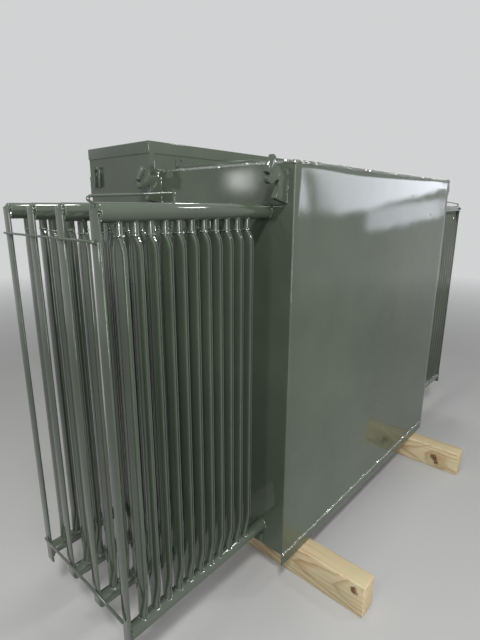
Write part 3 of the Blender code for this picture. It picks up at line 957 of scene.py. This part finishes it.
cabinet = {
    "lidEdge": 0.0035,
    "sheet": 0.0027,
    "strip": (0.787, 0.816, 1.6835),        # the upright strip at the rear corner: near X, far X, foot
    "stripProud": 0.004,
    "stripReach": 0.010,          # up behind the lid's rim
    "rim": (0.668, 0.003),        # the upright edge on the barrier: X and how proud it stands
    "rimWidth": 0.004,
    "barrierBolts": ((0.640, 1.749), (0.569, 1.742), (0.488, 1.745)),
    "barrierBolt": (0.0055, 0.005),       # radius and height
    "hinge": (0.0065, 0.090),     # knuckle radius and length
    "hingeHeights": (0.30, 0.95, 1.60),
    "sillBolts": (-0.62, -0.22, 0.22, 0.62),
    "leverGrip": 0.007,           # half the width of the loop on the lever
}


def makeLid():
    low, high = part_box("cabinet_lid")
    bm = blockPart(high - low)
    bmesh.ops.translate(bm, vec=(low + high) / 2, verts=bm.verts)
    below = [f for f in bm.faces if f.normal.z < -0.5]
    bmesh.ops.delete(bm, geom=below, context="FACES")
    folds = [e for e in bm.edges if len(e.link_faces) == 2]
    bevelEdges(bm, folds, cabinet["lidEdge"], 3)
    bmesh.ops.recalc_face_normals(bm, faces=bm.faces)
    if max(bm.faces, key=lambda f: f.calc_area()).normal.z < 0:
        bmesh.ops.reverse_faces(bm, faces=bm.faces)
    bmesh.ops.solidify(bm, geom=list(bm.faces), thickness=cabinet["sheet"])
    rideRoot("folded_lid", bm, sheetEnamel, ("cabinet_lid",))


def makeCabinetTrim():
    bm = bmesh.new()
    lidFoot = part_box("cabinet_lid")[0].z
    near, far, foot = cabinet["strip"]
    far, head = min(far, barrierHigh.x), lidFoot + cabinet["stripReach"]
    rim, proud = cabinet["rim"]
    face = barrierHigh.y
    radius, height = cabinet["barrierBolt"]
    for sign in sides.values():
        stripFace = face + cabinet["stripProud"]
        addBlock(bm, (sign * near, face, foot), (sign * far, stripFace, head), 0.0012)
        addBlock(bm, (sign * rim, face, coverHigh.z),
                 (sign * (rim + cabinet["rimWidth"]), face + proud, lidFoot), 0.001)
        for out, up in cabinet["barrierBolts"]:
            spot = (sign * out, face - 0.001, up)
            addPart(bm, discPart(radius, height, 16, 0.002, 3), turnTo(yAxis, spot))
    rideRoot("corner_strips", bm, pipeEnamel)


def makeBrackets():
    for side, sign in sides.items():
        node = "lid_bracket_" + side
        low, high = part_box(node)
        seat, tip, _ = onSide(node, sign)
        web = seat + (tip - seat) * 0.3
        bm = bmesh.new()
        addBlock(bm, (seat, low.y, low.z), (web, high.y, high.z), 0.001)
        for edge, inward in ((low.y, 1), (high.y, -1)):
            addBlock(bm, (seat, edge, low.z), (tip, edge + inward * 0.009, high.z), 0.0015)
            addBolt(bm, (web, edge + inward * 0.014, high.z - 0.010), (sign, 0, 0), 0.011, 0.005)
        rideRoot("channel_" + node, bm, pipeEnamel, (node,))


def makeDoorDetails():
    low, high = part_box("cabinet_left_door")
    bm = bmesh.new()
    radius, length = cabinet["hinge"]
    for sign in sides.values():
        for height in cabinet["hingeHeights"]:
            for third in range(3):
                knuckle = discPart(radius, length / 3 - 0.0008, 16, 0.0008, 1)
                spot = (sign * (high.x - radius), low.y - radius * 0.7, height + third * length / 3)
                addPart(bm, knuckle, Matrix.Translation(spot))
    rideRoot("door_hinges", bm, pipeEnamel)


def makeHandle():
    low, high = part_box("door_handle")
    middle = (low + high) / 2
    bm = bmesh.new()
    addBlock(bm, (low.x, high.y - 0.004, low.z), (high.x, high.y, high.z), 0.0018, 3)
    pivot = (middle.x, high.y - 0.002, high.z - 0.030)
    addPart(bm, discPart(0.0125, 0.010, 28, 0.0015), turnTo(-yAxis, pivot))
    addBlock(bm, (middle.x - 0.009, low.y, middle.z - 0.072),
             (middle.x + 0.009, low.y + 0.006, high.z - 0.022), 0.0024, 3)
    back, front, grip, eye = high.y - 0.002, low.y + 0.002, cabinet["leverGrip"], low.z + 0.034
    loop = ((-grip, back), (-grip, front), (grip, front), (grip, back))
    addRod(bm, [(middle.x + across, along, eye) for across, along in loop], 0.0022, 0.004)
    for height in (low.z + 0.010, high.z - 0.010):
        addBolt(bm, (middle.x, high.y - 0.004, height), -yAxis, 0.008, 0.003)
    rideRoot("lever_handle", bm, pipeEnamel, ("door_handle",))


def makeSill():
    low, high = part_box("cabinet_sill")
    bm = bmesh.new()
    addBlock(bm, low, high, 0.0012)
    for out in cabinet["sillBolts"]:
        addBolt(bm, (out, low.y, (low.z + high.z) / 2), -yAxis, 0.016, 0.007)
    rideRoot("bolted_sill", bm, sheetEnamel, ("cabinet_sill",))


makeLid()
makeCabinetTrim()
makeBrackets()
makeDoorDetails()
makeHandle()
makeSill()
print("terminal cabinet made")


# Strip on the cover, floor plate and small fittings

fittings = {
    "rearDots": ((0.465, 1.364), (1.417, 1.115), (0.999, 1.465), (1.281, 1.375)),
    "rearDotSize": (0.0050, 0.0036),        # radius and height
    "sideDots": ((0.048, 1.369), (0.054, 1.362), (0.049, 1.352)),
    "sideDotSize": (0.0026, 0.0018),
    "headerDots": (0.193, 0.438), # out along the first top header
    "headerDotSize": (0.0058, 0.0020),
    "bead": 0.0024,
    "tab": ((0.099, 0.144), (0.063, 0.100), 0.010),
    "shortWeld": ((0.055, 0.237), (0.019, 0.285)),
    "hookWeld": ((0.030, 1.516), (0.015, 1.537)),
}


def makeFittings():
    # on the rear wall, places run from its left side; on a side wall, from the rear face
    chance = random.Random("fittings")
    bm = bmesh.new()
    radius, rise = fittings["rearDotSize"]
    for place, height in fittings["rearDots"]:
        spot = (tankSide - place, rearFace - 0.001, tankFoot + height)
        addPart(bm, discPart(radius, rise, 14, rise * 0.45, 3), turnTo(yAxis, spot))
    radius, rise = fittings["sideDotSize"]
    for sign in sides.values():
        for place, height in fittings["sideDots"]:
            spot = (sign * (tankSide - 0.0005), rearFace - place, tankFoot + height)
            addPart(bm, discPart(radius, rise, 12, rise * 0.45, 2), turnTo((sign, 0, 0), spot))
        for key in ("shortWeld", "hookWeld"):
            run = [(sign * tankSide, rearFace - place, tankFoot + height) for place, height in fittings[key]]
            addBead(bm, run, fittings["bead"], chance)
        (near, far), (foot, head), proud = fittings["tab"]
        addBlock(bm, (sign * tankSide, rearFace - far, tankFoot + foot),
                 (sign * (tankSide + proud), rearFace - near, tankFoot + head), 0.0012)
    radius, rise = fittings["headerDotSize"]
    for side, sign in sides.items():
        node = "radiator_%s_1" % side
        for out in fittings["headerDots"]:
            spot = (sign * (tankSide + out), onSide(node, sign)[2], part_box(node)[1].z - 0.0012)
            addPart(bm, discPart(radius, rise, 16, 0.0009, 2), turnTo(zAxis, spot))
    rideRoot("small_fittings", bm, pipeEnamel)


def makeCoverStrip():
    low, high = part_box("cover_strip")
    bm = bmesh.new()
    addBlock(bm, low, high, 0.0018, 3)
    chance = random.Random("cover strip")
    for x in (low.x, high.x):
        addBead(bm, ((x, low.y, low.z), (x, high.y, low.z)), fittings["bead"] - 0.0004, chance)
    rideRoot("welded_strip", bm, pipeEnamel, ("cover_strip",))


makeFittings()
makeCoverStrip()
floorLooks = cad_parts["tank_floor"].data.materials
floorLooks.clear()
floorLooks.append(sheetEnamel)
print("fittings made")


# Timbers

timber = {
    "edge": 0.004,
    "cuts": 26,
    "leftKnots": (((0.646, 0.838, 0.108), 0.019), ((0.560, 0.60, 0.03), 0.012),
                  ((0.610, -0.3, 0.14), 0.014)),
    "rightKnots": (((-0.591, 0.735, 0.065), 0.024), ((-0.591, 0.750, 0.035), 0.015),
                   ((-0.64, 0.2, 0.14), 0.013)),
    "leftPith": (0.38, 0.2, 0.075),
    "rightPith": (-0.88, 0.1, 0.060),
}


def makeTimbers():
    for side in sides:
        node = "timber_" + side
        low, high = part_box(node)
        bm = blockPart(high - low)
        lengthwise = [e for e in bm.edges if abs((e.verts[0].co - e.verts[1].co).y) > 0.1]
        bmesh.ops.subdivide_edges(bm, edges=lengthwise, cuts=timber["cuts"], use_grid_fill=True)
        corners = [e for e in bm.edges if e.calc_face_angle(0) > 1]
        bevelEdges(bm, corners, timber["edge"], 3)
        bmesh.ops.translate(bm, vec=(low + high) / 2, verts=bm.verts)
        look = makePine(node + "_pine", timber[side + "Pith"], timber[side + "Knots"])
        rideRoot("sawn_" + node, bm, look, (node,))


makeTimbers()
print("timbers made")


# Floor, world and lamps

studio = {
    "floorColour": (0.43, 0.43, 0.425),     # as the camera sees it
    "floorBounce": (0.17, 0.17, 0.168),     # as it lights the object, like dark concrete
    "floorSize": 60.0,
    "floorFade": (3.0, 9.0),      # the floor turns into the backdrop between these distances
    "backColour": (0.64, 0.645, 0.65),
    "fill": 0.16,
    "floorRoughness": 0.85,
}

lamps = (
    # name, place, aim, width, height, brightness, and where they differ: colour, roll in degrees
    ("key_lamp", (3.03, 2.43, 4.36), (0.77, 0.5, 1.5), 0.50, 0.50, 170),
    ("ceiling_lamp_1", (-2.4, -2.6, 5.0), (-0.4, -0.4, 0), 0.40, 0.40, 62),
    ("ceiling_lamp_2", (2.6, -2.2, 5.0), (0.4, -0.4, 0), 0.40, 0.40, 62),
    ("ceiling_lamp_3", (-1.8, 2.8, 5.0), (-0.2, 0.4, 0), 0.40, 0.40, 62),
    ("ceiling_lamp_4", (0.4, 0.3, 5.2), (0.4, 0.3, 0), 0.40, 0.40, 62),
    ("ceiling_lamp_5", (5.2, 1.2, 5.0), (1.0, 0.2, 0.3), 0.40, 0.40, 62),
    ("rear_strip", (1.5, 5.0, 1.25), (1.2, 0.3, 1.0), 0.4, 2.2, 28),
    ("side_strip", (5.5, 0.8, 1.25), (1.2, 0.3, 1.0), 0.4, 2.2, 9),
    ("wall_panel", (-11.76, 5.2, 2.65), (-11.76, 0.0, 2.65), 10.5, 1.6, 4.0, (0.88, 0.90, 1.0), 5.3),
    ("low_panel", (-12.49, 5.2, 1.43), (-12.49, 0.0, 1.43), 7.0, 0.6, 2.0, (0.86, 0.90, 1.0), 2.6),
    ("side_patch", (5.24, -3.64, 1.92), (0.77, 0.36, 1.63), 0.36, 0.30, 7.0),
    ("rear_softbox", (2.8, 5.0, 3.2), (0.6, 0.5, 1.0), 1.4, 1.0, 24),
)


def makeFloor():
    bm = bmesh.new()
    bmesh.ops.create_grid(bm, x_segments=1, y_segments=1, size=studio["floorSize"] / 2)
    mesh = bpy.data.meshes.new("studio_floor")
    bm.to_mesh(mesh)
    bm.free()
    look, tree, shader, place = startMaterial("floor_grey")
    seen = seenDirectly(tree)
    colour = mixColours(tree, seen, studio["floorBounce"], studio["floorColour"])
    feed(tree, shader.inputs["Base Color"], colour)
    shader.inputs["Roughness"].default_value = studio["floorRoughness"]
    fade = spreadNode(tree, vectorNode(tree, "LENGTH", place), 0.0, 1.0, *studio["floorFade"])
    glow = addNode(tree, "Emission", {"Color": (*studio["backColour"], 1)})
    mix = mixShaders(tree, mathNode(tree, "MULTIPLY", fade, seen), shader.outputs["BSDF"],
                     glow.outputs["Emission"])
    tree.links.new(mix, tree.nodes["Material Output"].inputs["Surface"])
    mesh.materials.append(look)
    addObject("studio_floor", mesh)


def seenDirectly(tree):           # 1 for what the camera sees, straight or in a reflection
    rays = addNode(tree, "LightPath")
    seen = rays.outputs["Is Camera Ray"]
    for ray in ("Is Glossy Ray", "Is Transmission Ray"):
        seen = mathNode(tree, "MAXIMUM", seen, rays.outputs[ray])
    return seen


def makeWorld():
    world = bpy.data.worlds.new("studio")
    bpy.context.scene.world = world
    world.use_nodes = True
    tree = world.node_tree
    tree.nodes.clear()
    fill = addNode(tree, "Background", {"Color": (1, 1, 1, 1), "Strength": studio["fill"]})
    back = addNode(tree, "Background", {"Color": (*studio["backColour"], 1), "Strength": 1.0})
    mix = mixShaders(tree, seenDirectly(tree), fill.outputs["Background"], back.outputs["Background"])
    addNode(tree, "OutputWorld", {"Surface": mix})


def addLamp(name, place, aim, width, height, brightness, colour=(1, 1, 1), roll=0):
    data = bpy.data.lights.new(name, "AREA")
    data.shape = "RECTANGLE"
    data.size, data.size_y = width, height
    data.energy = brightness * width * height * math.pi
    data.color = colour
    lamp = addObject(name, data)
    lamp.location = place
    lamp.rotation_mode = "QUATERNION"
    facing = (Vector(aim) - Vector(place)).to_track_quat("-Z", "Y")
    lamp.rotation_quaternion = facing @ Quaternion((0, 0, 1), math.radians(roll))
    lamp.visible_camera = False


makeFloor()
makeWorld()
for lampValues in lamps:
    addLamp(*lampValues)
bpy.context.scene.view_settings.view_transform = "Standard"
print("studio made")

bpy.context.view_layer.update()
